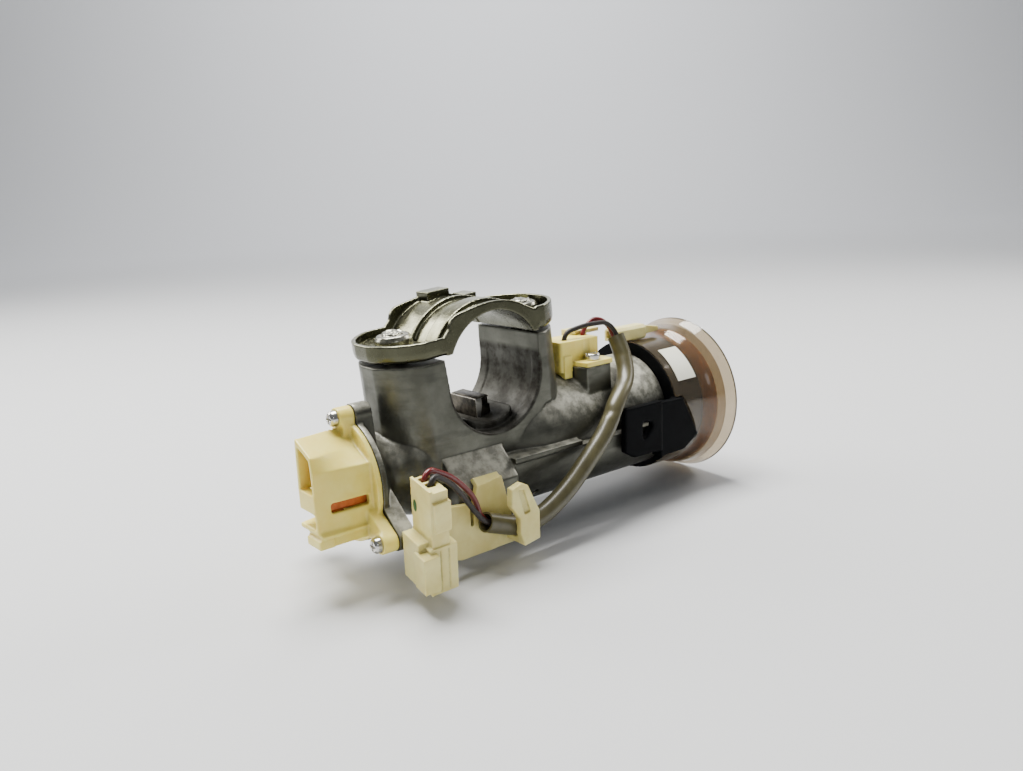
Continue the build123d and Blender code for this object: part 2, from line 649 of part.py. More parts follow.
def antenna_coil():
    return turned([(97.4, 22.6), (98.0, 24.9), (100.6, 27.4), (102.6, 27.4), (102.6, 22.6)])


def antenna_connector():
    body = block(71.0, 88.0, -3.2, 3.6, -0.4, 4.8)
    body = chamfer(body.edges().filter_by(Axis.X).group_by(Axis.Z)[-1], 1.2)
    body -= block(70, 79.5, -2.0, 2.4, 0.7, 3.6)
    arm = slab_xz([(86, 0.2), (97, 0.9), (97, 2.6), (86, 4.6)], -1.6, 2.0)
    foot = block(80.8, 88.0, -2.6, 3.0, -1.0, 0.2)
    return body + arm + foot


def label_plate():
    """Blank sticker curved round the bell."""
    skin = turned([(83.8, 26.62), (83.8, 26.8), (93.9, 26.95), (93.9, 26.77)])
    y0, z0 = polar(40, -29.5)
    y1, z1 = polar(40, -62.5)
    wedge = slab_yz([(0, AXIS_Z), (y0, z0), (y1, z1)], 80, 96)
    return skin & wedge


# Connector bracket, small connector and the lead

def connector_bracket():
    """Plate hooked over the cast boss, with a J clip in front that cradles the sleeve."""
    plate = slab_xz([
        (-40.0, -37.5), (-28.7, -35.4), (-22.1, -36.3), (-22.1, -43.9), (-20.9, -43.9), (-20.6, -37.8),
        (-18.8, -31.2), (-8.7, -29.8), (-5.2, -44.4), (-1.0, -53.9), (-26.0, -54.3), (-40.0, -50.0),
    ], -28.6, -26.4)
    hook = slab_yz([(-28.6, -32.5), (-28.6, -31.0), (-26.2, -28.9), (-24.6, -29.8), (-26.4, -31.8),
                    (-26.4, -33.0)], -18.8, -8.8)
    hook -= bracket_boss()
    clip = slab_xz([(-12.3, -31.6), (-8.0, -30.4), (-5.6, -31.7), (-1.2, -41.3), (-1.4, -50.9),
                    (-7.9, -51.9), (-9.5, -47.0), (-9.4, -42.2), (-12.7, -37.4)], -38.4, -35.6)
    clip = fillet(clip.edges().group_by(Axis.Y)[0], 0.5)
    clip -= slab_xz([(-9.9, -32.2), (-7.5, -32.8), (-5.1, -40.6), (-7.6, -41.1)], -39, -37.5)
    band = slab_xz([(-8.4, -48.4), (-1.6, -48.4), (-1.8, -51.4), (-7.8, -51.9)], -37.5, -28.3)
    bracket = plate + hook + clip + band
    seat = block(-42.0, -37.0, -34.0, -28.0, -49.5, -39.0)
    rear = CONNECTOR_AT * block(-1.3, 8.1, -12, 0.25, -36, 1)
    bracket = bracket + (seat - rear)
    return bracket - run(SLEEVE_ROUTE, blend_radii(SLEEVE_ROUTE), SLEEVE_TUBE_R + 0.05)


CAVITY_Y = (-2.6, -6.4)
CONNECTOR_AT = Location((-47.8, -35.5, -19.8), (9.1, -4.8, -4.3))


def connector_housing():
    upper = block(0, 5.9, -11.7, 0, -18.4, 0)
    lip = block(0, 0.9, -11.7, 0, -0.2, 0.8)
    latch = block(0.6, 6.2, -12.9, -11.2, -12.7, -3.1)
    lower = block(-1.2, 8.0, -12.3, 0.2, -33.7, -17.9)
    shell = block(-3.5, 0.2, -9.4, 0.2, -31.8, -16.6)
    key = block(-4.3, 1.0, -14.2, -8.0, -31.2, -19.2)
    body = upper + lip + latch + lower + shell + key
    body -= block(-2.9, -1.2, -7.8, -1.0, -40, -17.8)
    body -= block(-5, 6, -14.4, -12.6, -35, -31.1)
    for x in (2.2, 5.1):
        body -= block(x - 0.25, x + 0.25, -12.9, -11.9, -33.2, -18.8)
    for y in CAVITY_Y:
        body -= block(1.9, 4.5, y - 1.35, y + 1.35, -8.0, 1)
        body -= block(2.4, 4.0, y - 0.8, y + 0.8, -35, -7)
    return CONNECTOR_AT * body


def connector_terminals():
    pins = []
    for y in CAVITY_Y:
        pins.append(block(2.6, 3.8, y - 0.6, y + 0.6, -31.0, -8.4))
    return CONNECTOR_AT * Compound(children=pins)


SLEEVE_ROUTE = [
    (-19.8, -33.4, -41.6), (-11.4, -32.8, -45.0), (-5.0, -32.3, -47.3), (4.9, -32.1, -46.8),
    (18.6, -30.8, -40.6), (30.4, -29.3, -32.2), (40.6, -27.4, -25.5), (49.5, -24.2, -15.8),
    (60.6, -18.6, -10.6), (64.5, -12.7, -2.3), (63.8, -9.8, 4.0),
]


def wire_sleeve():
    radii = blend_radii(SLEEVE_ROUTE)
    outer = run(SLEEVE_ROUTE, radii, SLEEVE_TUBE_R)
    inner = run(SLEEVE_ROUTE, radii, SLEEVE_TUBE_R - SLEEVE_WALL)
    print("wire_sleeve radii", [round(r, 1) for r in radii])
    return outer - inner


def connector_point(x, y, z):
    """A point drawn in the small connector's own frame, brought to the barrel's."""
    spot = (CONNECTOR_AT * Pos(x, y, z)).position
    return (spot.X, spot.Y, spot.Z)


def lead_route(shift, top, front):
    """The whole way of one lead: switch exit, through the sleeve beside its fellow, connector."""
    inside = [(x, y + shift, z) for x, y, z in reversed(SLEEVE_ROUTE[1:-1])]
    return top + inside + front


def lead_wire(shift, top, front, label):
    route = lead_route(shift, top, front)
    radii = blend_radii(route)
    shared = list(reversed(blend_radii(SLEEVE_ROUTE)))
    first = len(top) - 1
    for k in range(len(shared)):
        radii[first + k] = min(shared[k], radii[first + k]) if k in (0, len(shared) - 1) else shared[k]
    print(label, "radii", [round(r, 1) for r in radii])
    return run(route, radii, WIRE_R)


LEAD_SHIFT = 1.2


def lead_wire_red():
    top = [(*RED_EXIT, 1.2), (52.5, -3.5, 7.6), (58.6, -3.2, 10.8), (62.0, -4.8, 10.0), (63.6, -6.9, 7.2)]
    front = [(-20.6, -32.4, -41.3), (-23.0, -32.8, -32.6), (-31.6, -34.3, -23.4),
             connector_point(3.1, CAVITY_Y[0], 4.0), connector_point(3.2, CAVITY_Y[0], -7.6)]
    return lead_wire(LEAD_SHIFT, top, front, "lead_wire_red")


def lead_wire_black():
    top = [(*BLACK_EXIT, 1.2), (40.6, -6.3, 8.0), (50.0, -7.6, 9.9), (60.0, -8.4, 9.8), (63.2, -9.5, 7.0)]
    front = [(-21.2, -34.5, -41.0), (-26.2, -35.0, -34.2), (-34.0, -37.4, -24.4),
             connector_point(3.1, CAVITY_Y[1], 4.0), connector_point(3.2, CAVITY_Y[1], -7.6)]
    return lead_wire(-LEAD_SHIFT, top, front, "lead_wire_black")


# The clamp group first, then the mechanism from the switch end to the key end.
def pieces():
    return {
        "lock_housing": lock_housing(),
        "clamp_cap": clamp_cap(),
        "shear_bolts": Compound(children=[shear_bolt(-BOLT_X), shear_bolt(BOLT_X)]),
        "lock_bolt": lock_bolt(),
        "lock_bolt_spring": lock_bolt_spring(),
        "bottom_cover": bottom_cover(),
        "cam_shaft": cam_shaft(),
        "return_spring": return_spring(),
        "key_cylinder_sleeve": key_cylinder_sleeve(),
        "key_plug": key_plug(),
        "wafer_tumblers": wafer_tumblers(),
        "wafer_springs": wafer_springs(),
        "cylinder_bezel": cylinder_bezel(),
        "retaining_pin": retaining_pin(),
        "switch_housing": switch_housing(),
        "switch_terminals": switch_terminals(),
        "switch_rotor": switch_rotor(),
        "rotor_contact": rotor_contact(),
        "switch_screws": Compound(children=[switch_screw(y, z) for y, z in EAR_SPOTS]),
        "reminder_switch_body": reminder_switch_body(),
        "reminder_cover": reminder_cover(),
        "reminder_screw": reminder_screw(),
        "reminder_plunger": reminder_plunger(),
        "ring_holder": ring_holder(),
        "antenna_ring": antenna_ring(),
        "antenna_coil": antenna_coil(),
        "antenna_connector": antenna_connector(),
        "label_plate": label_plate(),
        "connector_bracket": connector_bracket(),
        "connector_housing": connector_housing(),
        "connector_terminals": connector_terminals(),
        "wire_sleeve": wire_sleeve(),
        "lead_wire_red": lead_wire_red(),
        "lead_wire_black": lead_wire_black(),
    }


os.makedirs("parts", exist_ok=True)
for name, shape in pieces().items():
    export_step(shape, "parts/" + name + ".step")
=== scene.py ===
import json
import math

import bmesh
import bpy
from mathutils import Matrix, Vector, noise


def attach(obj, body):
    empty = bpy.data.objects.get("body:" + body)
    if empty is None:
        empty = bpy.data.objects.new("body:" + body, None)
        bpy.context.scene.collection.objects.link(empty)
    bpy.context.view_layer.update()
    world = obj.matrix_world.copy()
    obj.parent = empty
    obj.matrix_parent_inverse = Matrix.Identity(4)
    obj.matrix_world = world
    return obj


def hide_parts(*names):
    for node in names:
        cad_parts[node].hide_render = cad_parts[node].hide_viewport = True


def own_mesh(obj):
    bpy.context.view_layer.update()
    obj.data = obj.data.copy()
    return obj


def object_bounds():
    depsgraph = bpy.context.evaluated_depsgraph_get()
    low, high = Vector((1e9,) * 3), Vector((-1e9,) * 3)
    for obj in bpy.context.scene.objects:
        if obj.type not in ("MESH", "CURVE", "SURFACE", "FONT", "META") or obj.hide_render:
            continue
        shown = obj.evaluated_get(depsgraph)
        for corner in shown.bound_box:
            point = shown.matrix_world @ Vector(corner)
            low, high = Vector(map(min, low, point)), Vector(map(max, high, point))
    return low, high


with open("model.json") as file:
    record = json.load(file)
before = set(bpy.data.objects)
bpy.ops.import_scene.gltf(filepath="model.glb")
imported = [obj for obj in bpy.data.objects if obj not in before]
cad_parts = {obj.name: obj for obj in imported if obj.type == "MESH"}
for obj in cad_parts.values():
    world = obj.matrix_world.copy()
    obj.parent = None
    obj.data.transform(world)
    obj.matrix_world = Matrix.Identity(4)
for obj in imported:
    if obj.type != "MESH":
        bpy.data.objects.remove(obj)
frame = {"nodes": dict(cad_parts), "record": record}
cad_low, cad_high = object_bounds()
scene = bpy.context.scene


# The camera stands in front of the switch end, a little above the barrel, and is rolled by
# a couple of degrees, as in the photograph.
CAMERA_PLACE = (-0.17871, -0.25119, 0.06332)
CAMERA_ANGLES = (-38.307, 12.736, -2.756)
camera_data = bpy.data.cameras.new("bench_camera")
camera_data.lens = 31.67
camera_data.sensor_width = 36.0
camera_data.sensor_fit = "HORIZONTAL"
camera_data.clip_start = 0.01
camera = bpy.data.objects.new("bench_camera", camera_data)
scene.collection.objects.link(camera)
turn, lift, roll = (math.radians(angle) for angle in CAMERA_ANGLES)
back = Vector((math.sin(turn) * math.cos(lift), -math.cos(turn) * math.cos(lift), math.sin(lift)))
side = Vector((math.cos(turn), math.sin(turn), 0.0))
up = back.cross(side)
side_rolled = side * math.cos(roll) + up * math.sin(roll)
up_rolled = up * math.cos(roll) - side * math.sin(roll)
view_turn = Matrix((side_rolled, up_rolled, back)).transposed().to_4x4()
camera.matrix_world = Matrix.Translation(CAMERA_PLACE) @ view_turn
scene.camera = camera


# The studio: a plain pale floor that runs up into a back wall, a soft lamp overhead, others
# behind and at the key end, a weak fill near the camera and a wash on the wall.
def soft_lamp(name, place, aim, width, power, warmth):
    data = bpy.data.lights.new(name, "AREA")
    data.shape = "RECTANGLE"
    data.size = width
    data.size_y = width * 0.7
    data.energy = power
    data.color = warmth
    lamp = bpy.data.objects.new(name, data)
    lamp.location = place
    lamp.rotation_euler = (Vector(aim) - Vector(place)).to_track_quat("-Z", "Y").to_euler()
    scene.collection.objects.link(lamp)


soft_lamp("overhead_lamp", (0.02, 0.24, 0.80), (0.0, 0.0, -0.02), 0.60, 22.0, (1.0, 0.985, 0.94))
soft_lamp("far_strip", (-0.35, 0.75, 0.50), (0.0, 0.0, 0.0), 0.60, 7.0, (1.0, 0.98, 0.93))
soft_lamp("key_end_lamp", (0.80, -0.10, 0.45), (0.03, 0.0, -0.03), 0.35, 3.4, (1.0, 0.97, 0.92))
soft_lamp("camera_fill", (-0.35, -0.85, 0.40), (0.0, 0.0, -0.03), 0.40, 0.9, (0.97, 0.98, 1.0))
soft_lamp("wall_wash", (0.9, 1.1, 1.7), (1.7, 2.2, 0.9), 1.2, 60.0, (1.0, 1.0, 1.0))
world = bpy.data.worlds.new("pale_room")
world.use_nodes = True
room = world.node_tree.nodes["Background"]
room.inputs["Color"].default_value = (0.78, 0.80, 0.82, 1.0)
room.inputs["Strength"].default_value = 0.22
scene.world = world


LOWEST_POINT = -0.0595
FLOOR_GAP = 0.0002
FLOOR_NEAR = -4.0
WALL_TOP = 4.0


def studio_sweep(level, reach=1.7, bend=0.9, half=5.0, steps=24):
    """A floor that curves up into the back wall, square to the camera's view."""
    ahead = Vector((-back.x, -back.y, 0.0)).normalized()
    across = Vector((ahead.y, -ahead.x, 0.0))
    line = [(FLOOR_NEAR, 0.0), (reach, 0.0)]
    for k in range(1, steps + 1):
        angle = math.radians(90) * k / steps
        line.append((reach + bend * math.sin(angle), bend * (1 - math.cos(angle))))
    line.append((reach + bend, WALL_TOP))
    verts = []
    for along_view, height in line:
        for side_step in (-half, half):
            verts.append(ahead * along_view + across * side_step + Vector((0, 0, level + height)))
    faces = [(2 * k, 2 * k + 1, 2 * k + 3, 2 * k + 2) for k in range(len(line) - 1)]
    mesh = bpy.data.meshes.new("pale_sweep")
    mesh.from_pydata(verts, [], faces)
    for face in mesh.polygons:
        face.use_smooth = True
    return mesh


sweep_mesh = studio_sweep(min(cad_low.z, LOWEST_POINT) - FLOOR_GAP)
sweep = bpy.data.objects.new("pale_sweep", sweep_mesh)
scene.collection.objects.link(sweep)
sweep_paint = bpy.data.materials.new("sweep_paint")
sweep_paint.use_nodes = True
sweep_skin = sweep_paint.node_tree.nodes["Principled BSDF"]
sweep_skin.inputs["Base Color"].default_value = (0.60, 0.61, 0.63, 1)
sweep_skin.inputs["Roughness"].default_value = 0.8
sweep_mesh.materials.append(sweep_paint)


# The lock housing is one zinc die casting: tube saddle, barrel, switch flange and bosses.
# Its mesh is the built solid with its edges rounded as a die leaves them, and the finish is
# a dull grey skin, rubbed bright on edges, with painted light on the barrel's top and on faces
# turned upwards, and painted shade in the bore and in the hollows.
WELD = 2e-6


def merged_copy(node, name):
    """The built piece's own mesh with its loose triangles joined."""
    mesh = frame["nodes"][node].data.copy()
    mesh.materials.clear()
    joined = bmesh.new()
    joined.from_mesh(mesh)
    bmesh.ops.remove_doubles(joined, verts=joined.verts, dist=WELD)
    joined.to_mesh(mesh)
    joined.free()
    piece = bpy.data.objects.new(name, mesh)
    scene.collection.objects.link(piece)
    return piece


def settle(piece):
    """Turns a piece's live modifiers into plain mesh."""
    bpy.context.view_layer.update()
    shown = piece.evaluated_get(bpy.context.evaluated_depsgraph_get())
    made = bpy.data.meshes.new_from_object(shown)
    piece.modifiers.clear()
    piece.data = made
    return piece


def moulded(node, name, grain, rounds, keep=1.0):
    """The built piece with its edges rounded as a die or mould leaves them."""
    piece = merged_copy(node, name)
    cells = piece.modifiers.new("cells", "REMESH")
    cells.mode = "VOXEL"
    cells.voxel_size = grain
    cells.use_smooth_shade = True
    ease = piece.modifiers.new("ease", "SMOOTH")
    ease.factor = 0.5
    ease.iterations = rounds
    if keep < 1.0:
        thin = piece.modifiers.new("thin", "DECIMATE")
        thin.ratio = keep
    settle(piece)
    for face in piece.data.polygons:
        face.use_smooth = True
    return piece


def crisp(node, name, angle=32.0):
    """The built piece as it is, smooth over its curves and sharp at its corners."""
    piece = merged_copy(node, name)
    for face in piece.data.polygons:
        face.use_smooth = True
    piece.data.set_sharp_from_angle(angle=math.radians(angle))
    return piece


def seat(piece, node, finish):
    """Gives a made piece its finish and puts it in the built node's place."""
    body = next(b for b, nodes in frame["record"]["behaviour"]["bodies"].items() if node in nodes)
    piece.data.materials.clear()
    piece.data.materials.append(finish)
    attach(piece, body)
    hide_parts(node)
    return piece


class Finish:
    """A material under construction, with short calls for its texture nodes."""

    def __init__(self, name):
        self.made = bpy.data.materials.new(name)
        self.made.use_nodes = True
        self.nodes = self.made.node_tree.nodes
        self.links = self.made.node_tree.links
        self.skin = self.nodes["Principled BSDF"]
        self.place = self.nodes.new("ShaderNodeTexCoord").outputs["Object"]

    def set(self, **values):
        for key, value in values.items():
            self.skin.inputs[key.replace("_", " ")].default_value = value

    def grain(self, scale, detail=4.0, stretch=None, rough=0.55):
        source = self.place
        if stretch:
            shape = self.nodes.new("ShaderNodeMapping")
            shape.inputs["Scale"].default_value = stretch
            self.links.new(source, shape.inputs["Vector"])
            source = shape.outputs["Vector"]
        tex = self.nodes.new("ShaderNodeTexNoise")
        tex.inputs["Scale"].default_value = scale
        tex.inputs["Detail"].default_value = detail
        tex.inputs["Roughness"].default_value = rough
        self.links.new(source, tex.inputs["Vector"])
        return tex.outputs["Fac"]

    def spread(self, value, low, high, to_low=0.0, to_high=1.0):
        span = self.nodes.new("ShaderNodeMapRange")
        span.inputs["From Min"].default_value = low
        span.inputs["From Max"].default_value = high
        span.inputs["To Min"].default_value = to_low
        span.inputs["To Max"].default_value = to_high
        self.links.new(value, span.inputs["Value"])
        return span.outputs["Result"]

    def blend(self, share, first, second):
        mix = self.nodes.new("ShaderNodeMix")
        mix.data_type = "RGBA"
        self.links.new(share, mix.inputs["Factor"])
        for socket, value in ((mix.inputs[6], first), (mix.inputs[7], second)):
            if isinstance(value, tuple):
                socket.default_value = (*value, 1.0)
            else:
                self.links.new(value, socket)
        return mix.outputs[2]

    def sum(self, kind, first, second):
        calc = self.nodes.new("ShaderNodeMath")
        calc.operation = kind
        for socket, value in ((calc.inputs[0], first), (calc.inputs[1], second)):
            if isinstance(value, (int, float)):
                socket.default_value = value
            else:
                self.links.new(value, socket)
        return calc.outputs[0]

    def facing(self):
        """The surface's direction, by its X, Y and Z parts."""
        parts = self.nodes.new("ShaderNodeSeparateXYZ")
        direction = self.nodes.new("ShaderNodeNewGeometry").outputs["Normal"]
        self.links.new(direction, parts.inputs["Vector"])
        return parts.outputs

    def bore_distance(self, across, height):
        """How far a spot is from the clamp bore's axis, which is the frame's Y axis."""
        span = self.nodes.new("ShaderNodeCombineXYZ")
        self.links.new(across, span.inputs["X"])
        self.links.new(height, span.inputs["Z"])
        length = self.nodes.new("ShaderNodeVectorMath")
        length.operation = "LENGTH"
        self.links.new(span.outputs["Vector"], length.inputs[0])
        return length.outputs["Value"]

    def edges(self, radius, low=0.02, high=0.22):
        """How much a corner is rubbed, from the angle between true and rounded normals."""
        round_off = self.nodes.new("ShaderNodeBevel")
        round_off.samples = 4
        round_off.inputs["Radius"].default_value = radius
        true = self.nodes.new("ShaderNodeNewGeometry")
        dot = self.nodes.new("ShaderNodeVectorMath")
        dot.operation = "DOT_PRODUCT"
        self.links.new(round_off.outputs["Normal"], dot.inputs[0])
        self.links.new(true.outputs["Normal"], dot.inputs[1])
        return self.spread(self.sum("SUBTRACT", 1.0, dot.outputs["Value"]), low, high)

    def hollows(self, reach, low=0.35, high=0.95):
        """How shut in a spot is, by ambient occlusion; it masks painted shade in hollows and
        corners.
        """
        shade = self.nodes.new("ShaderNodeAmbientOcclusion")
        shade.samples = 6
        shade.inputs["Distance"].default_value = reach
        return self.spread(shade.outputs["AO"], low, high, 1.0, 0.0)

    def relief(self, height, strength, depth, under=None):
        bump = self.nodes.new("ShaderNodeBump")
        bump.inputs["Strength"].default_value = strength
        bump.inputs["Distance"].default_value = depth
        self.links.new(height, bump.inputs["Height"])
        if under:
            self.links.new(under, bump.inputs["Normal"])
        return bump.outputs["Normal"]

    def join(self, **sockets):
        for key, value in sockets.items():
            self.links.new(value, self.skin.inputs[key.replace("_", " ")])


def cast_zinc_finish():
    f = Finish("cast_zinc")
    f.set(Metallic=0.80, Roughness=0.45)
    cloudy = f.grain(95.0, 6.0)
    streaks = f.grain(60.0, 5.0, stretch=(1.0, 1.0, 3.5))
    blotch = f.grain(260.0, 6.0, rough=0.62)
    speck = f.grain(900.0, 3.0, rough=0.7)
    parts = f.nodes.new("ShaderNodeSeparateXYZ")
    f.links.new(f.place, parts.inputs["Vector"])
    upward = f.facing()["Z"]

    base = f.blend(f.spread(cloudy, 0.35, 0.68), (0.076, 0.077, 0.062), (0.130, 0.131, 0.108))
    streaked = f.sum("MULTIPLY", f.spread(streaks, 0.52, 0.70), 0.6)
    base = f.blend(streaked, base, (0.044, 0.044, 0.036))

    # Painted light: the barrel's upper faces are painted lighter, in a mottle.
    barrel_top = f.sum("MULTIPLY", f.spread(parts.outputs["X"], 0.016, 0.040),
                       f.spread(parts.outputs["Z"], -0.030, -0.012))
    barrel_top = f.sum("MULTIPLY", barrel_top, f.spread(upward, 0.0, 0.4))
    barrel_top_light = f.blend(f.spread(blotch, 0.42, 0.60), (0.175, 0.174, 0.142), (0.58, 0.57, 0.48))
    base = f.blend(f.sum("MULTIPLY", barrel_top, 0.85), base, barrel_top_light)

    # Painted light: faces turned upwards are painted pale and mottled, and are made less metallic
    # further down.
    top_light_share = f.sum("MULTIPLY", f.spread(upward, 0.28, 0.70), 0.75)
    painted_top_light = f.blend(f.spread(blotch, 0.40, 0.62), (0.25, 0.245, 0.205), (0.62, 0.61, 0.51))
    base = f.blend(top_light_share, base, painted_top_light)

    # Painted shade: the bore's inner wall is painted dark, in a mottle.
    distance = f.bore_distance(parts.outputs["X"], parts.outputs["Z"])
    in_bore = f.spread(distance, 0.0201, 0.0196)
    patch_noise = f.spread(f.grain(210.0, 6.0, rough=0.65), 0.44, 0.62)
    bore = f.blend(patch_noise, (0.070, 0.069, 0.059), (0.020, 0.016, 0.011))
    base = f.blend(f.sum("MULTIPLY", in_bore, 0.9), base, bore)

    # Painted shade in the hollows and corners of the casting.
    base = f.blend(f.sum("MULTIPLY", f.hollows(0.004), 0.65), base, (0.024, 0.022, 0.017))
    base = f.blend(f.sum("MULTIPLY", f.edges(0.0006), 0.80), base, (0.50, 0.50, 0.45))
    dull = f.spread(f.grain(240.0, 5.0), 0.3, 0.7, 0.30, 0.50)
    dull = f.sum("ADD", dull, f.sum("MULTIPLY", in_bore, 0.2))
    metal = f.spread(top_light_share, 0.0, 0.75, 0.80, 0.25)
    bumps = f.relief(speck, 0.16, 0.00025, f.relief(cloudy, 0.12, 0.0012))
    f.join(Base_Color=base, Metallic=metal, Roughness=dull, Normal=bumps)
    return f.made


cast_zinc = cast_zinc_finish()
housing_skin = moulded("lock_housing", "housing_casting", 0.00042, 2, 0.28)
seat(housing_skin, "lock_housing", cast_zinc)


# The clamp cap is a second casting with drop-shaped ears, edge walls and two ribs over the
# tube.  It has a thin olive passivation, worn pale along its rims, with painted shade on its
# side faces and in its hollows.
def cap_finish():
    f = Finish("olive_casting")
    f.set(Metallic=0.92, Roughness=0.30)
    patches = f.grain(130.0, 6.0)
    fine = f.grain(1200.0, 3.0, rough=0.7)
    base = f.blend(f.spread(patches, 0.36, 0.66), (0.170, 0.168, 0.100), (0.320, 0.318, 0.215))
    # Painted shade: faces turned sideways or down are painted darker.
    side_shade_share = f.spread(f.facing()["Z"], 0.55, 0.10, 0.0, 0.88)
    base = f.blend(side_shade_share, base, (0.048, 0.048, 0.030))
    # Painted shade in the hollows round the ribs and ears.
    base = f.blend(f.sum("MULTIPLY", f.hollows(0.0022), 0.4), base, (0.050, 0.047, 0.024))
    base = f.blend(f.sum("MULTIPLY", f.edges(0.0006), 0.8), base, (0.62, 0.61, 0.52))
    dull = f.spread(f.grain(300.0, 5.0), 0.3, 0.7, 0.18, 0.32)
    bumps = f.relief(fine, 0.10, 0.0002, f.relief(patches, 0.1, 0.001))
    f.join(Base_Color=base, Roughness=dull, Normal=bumps)
    return f.made


olive_casting = cap_finish()
seat(moulded("clamp_cap", "cap_casting", 0.00030, 3), "clamp_cap", olive_casting)


# Shear bolts: plated steel, their hexagons snapped off so that a rough stub is left on a low
# round head.  Only the stub's top is made ragged.
CLAMP_TILT = math.radians(4.65)
BOLT_REACH = 0.0272
STUB_FOOT = 0.0186
STUB_HALF = 0.0042
RAGGED_DEPTH = 0.00055
RAGGED_RISE = 0.0008
RAGGED_SCALE = 420.0


def torn_steel_finish():
    f = Finish("torn_steel")
    f.set(Metallic=0.95, Roughness=0.27)
    torn = f.grain(420.0, 5.0, rough=0.6)
    base = f.blend(f.spread(torn, 0.38, 0.66), (0.170, 0.166, 0.130), (0.470, 0.462, 0.390))
    # Painted shade in the hollows of the torn stub.
    base = f.blend(f.sum("MULTIPLY", f.hollows(0.002), 0.6), base, (0.045, 0.040, 0.028))
    f.join(Base_Color=base, Normal=f.relief(torn, 0.22, 0.0004))
    return f.made


torn_steel = torn_steel_finish()
bolts = moulded("shear_bolts", "sheared_bolts", 0.00026, 3)
for vertex in bolts.data.vertices:
    height = vertex.co.z * math.cos(CLAMP_TILT) - vertex.co.x * math.sin(CLAMP_TILT)
    across = vertex.co.x * math.cos(CLAMP_TILT) + vertex.co.z * math.sin(CLAMP_TILT)
    out = math.hypot(abs(across) - BOLT_REACH, vertex.co.y)
    if height > STUB_FOOT and out < STUB_HALF:
        ragged = noise.fractal(vertex.co * RAGGED_SCALE, 0.8, 2.0, 4)
        share = min(1.0, (height - STUB_FOOT) / RAGGED_RISE)
        vertex.co.z += RAGGED_DEPTH * (ragged - 0.5) * share
seat(bolts, "shear_bolts", torn_steel)


# Lock bolt: a hardened steel bar through the saddle's land, dark on top and on its sides,
# with a painted highlight on the face towards the camera and with bright rubbed corners.
def worn_steel_finish():
    f = Finish("worn_steel")
    f.set(Metallic=0.92, Roughness=0.40)
    patch_noise = f.grain(320.0, 6.0)
    base = f.blend(f.spread(patch_noise, 0.38, 0.62), (0.028, 0.024, 0.018), (0.120, 0.105, 0.080))
    # Painted highlight: faces turned towards the camera, along -Y, are painted pale.
    base = f.blend(f.spread(f.facing()["Y"], -0.6, -0.9), base, (0.30, 0.29, 0.26))
    base = f.blend(f.edges(0.0005), base, (0.62, 0.60, 0.56))
    f.join(Base_Color=base, Normal=f.relief(f.grain(900.0, 5.0), 0.22, 0.0003))
    return f.made


worn_steel = worn_steel_finish()
seat(crisp("lock_bolt", "locking_bar"), "lock_bolt", worn_steel)


# The steel inside and under the housing: springs, the pocket's cover and the retaining pin.
def plain_metal(name, colour, dull, scale=500.0, metal=1.0):
    f = Finish(name)
    f.set(Metallic=metal, Roughness=dull)
    tone = f.grain(scale, 4.0)
    dark = tuple(0.72 * c for c in colour)
    f.join(Base_Color=f.blend(f.spread(tone, 0.35, 0.65), dark, colour))
    return f.made


bright_steel = plain_metal("bright_steel", (0.62, 0.61, 0.58), 0.28)
for node, slot in (("lock_bolt_spring", "spring_steel"), ("return_spring", "spring_steel"),
                   ("wafer_springs", "spring_steel"), ("bottom_cover", "cover_steel"),
                   ("retaining_pin", "bolt_steel")):
    seat(crisp(node, node + "_steel"), node, bright_steel)

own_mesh(bpy.data.objects["lock_bolt_spring_steel"])


# Switch and reminder screws: plated pan heads, the switch's with a cross and the reminder
# switch's with a slot.
screw_steel = plain_metal("screw_steel", (0.70, 0.69, 0.66), 0.24, 900.0)
seat(moulded("switch_screws", "switch_screw_heads", 0.00016, 2), "switch_screws",
     screw_steel)
seat(moulded("reminder_screw", "reminder_screw_head", 0.00014, 2), "reminder_screw",
     screw_steel)


# The key cylinder: machined zinc sleeve, plug and cam shaft, brass wafers and a satin black
# bezel round the keyway.
machined_zinc = plain_metal("machined_zinc", (0.55, 0.55, 0.53), 0.35)
wafer_brass = plain_metal("wafer_brass", (0.72, 0.56, 0.27), 0.30)
for node in ("cam_shaft", "key_cylinder_sleeve", "key_plug"):
    seat(crisp(node, node + "_turned"), node, machined_zinc)
seat(crisp("wafer_tumblers", "wafer_stack"), "wafer_tumblers", wafer_brass)


def plastic(name, colour, shade, dull, soften=0.0, hollow_shade=0.5, hollow_shade_reach=0.003, fine=0.12, shine=0.5):
    f = Finish(name)
    f.set(Roughness=dull, IOR=1.5, Specular_IOR_Level=shine)
    if soften:
        f.set(Subsurface_Weight=soften, Subsurface_Radius=(0.6, 0.45, 0.25), Subsurface_Scale=0.0022)
    uneven = f.grain(150.0, 5.0)
    base = f.blend(f.spread(uneven, 0.35, 0.68), shade, colour)
    # Painted shade in hollows and corners, found by ambient occlusion and broken up by noise.
    hollow_shade_colour = tuple(0.28 * c for c in shade)
    patchy = f.spread(f.grain(420.0, 5.0), 0.3, 0.62, 0.35, 1.0)
    hollow_shade_mask = f.sum("MULTIPLY", f.hollows(hollow_shade_reach), patchy)
    base = f.blend(f.sum("MULTIPLY", hollow_shade_mask, hollow_shade), base, hollow_shade_colour)
    f.join(Base_Color=base, Normal=f.relief(f.grain(1400.0, 3.0), fine, 0.00015))
    return f.made


satin_black = plastic("satin_black", (0.0042, 0.0048, 0.0055), (0.003, 0.003, 0.0035), 0.50,
                      hollow_shade=0.2, shine=0.03)
seat(crisp("cylinder_bezel", "key_bezel"), "cylinder_bezel", satin_black)


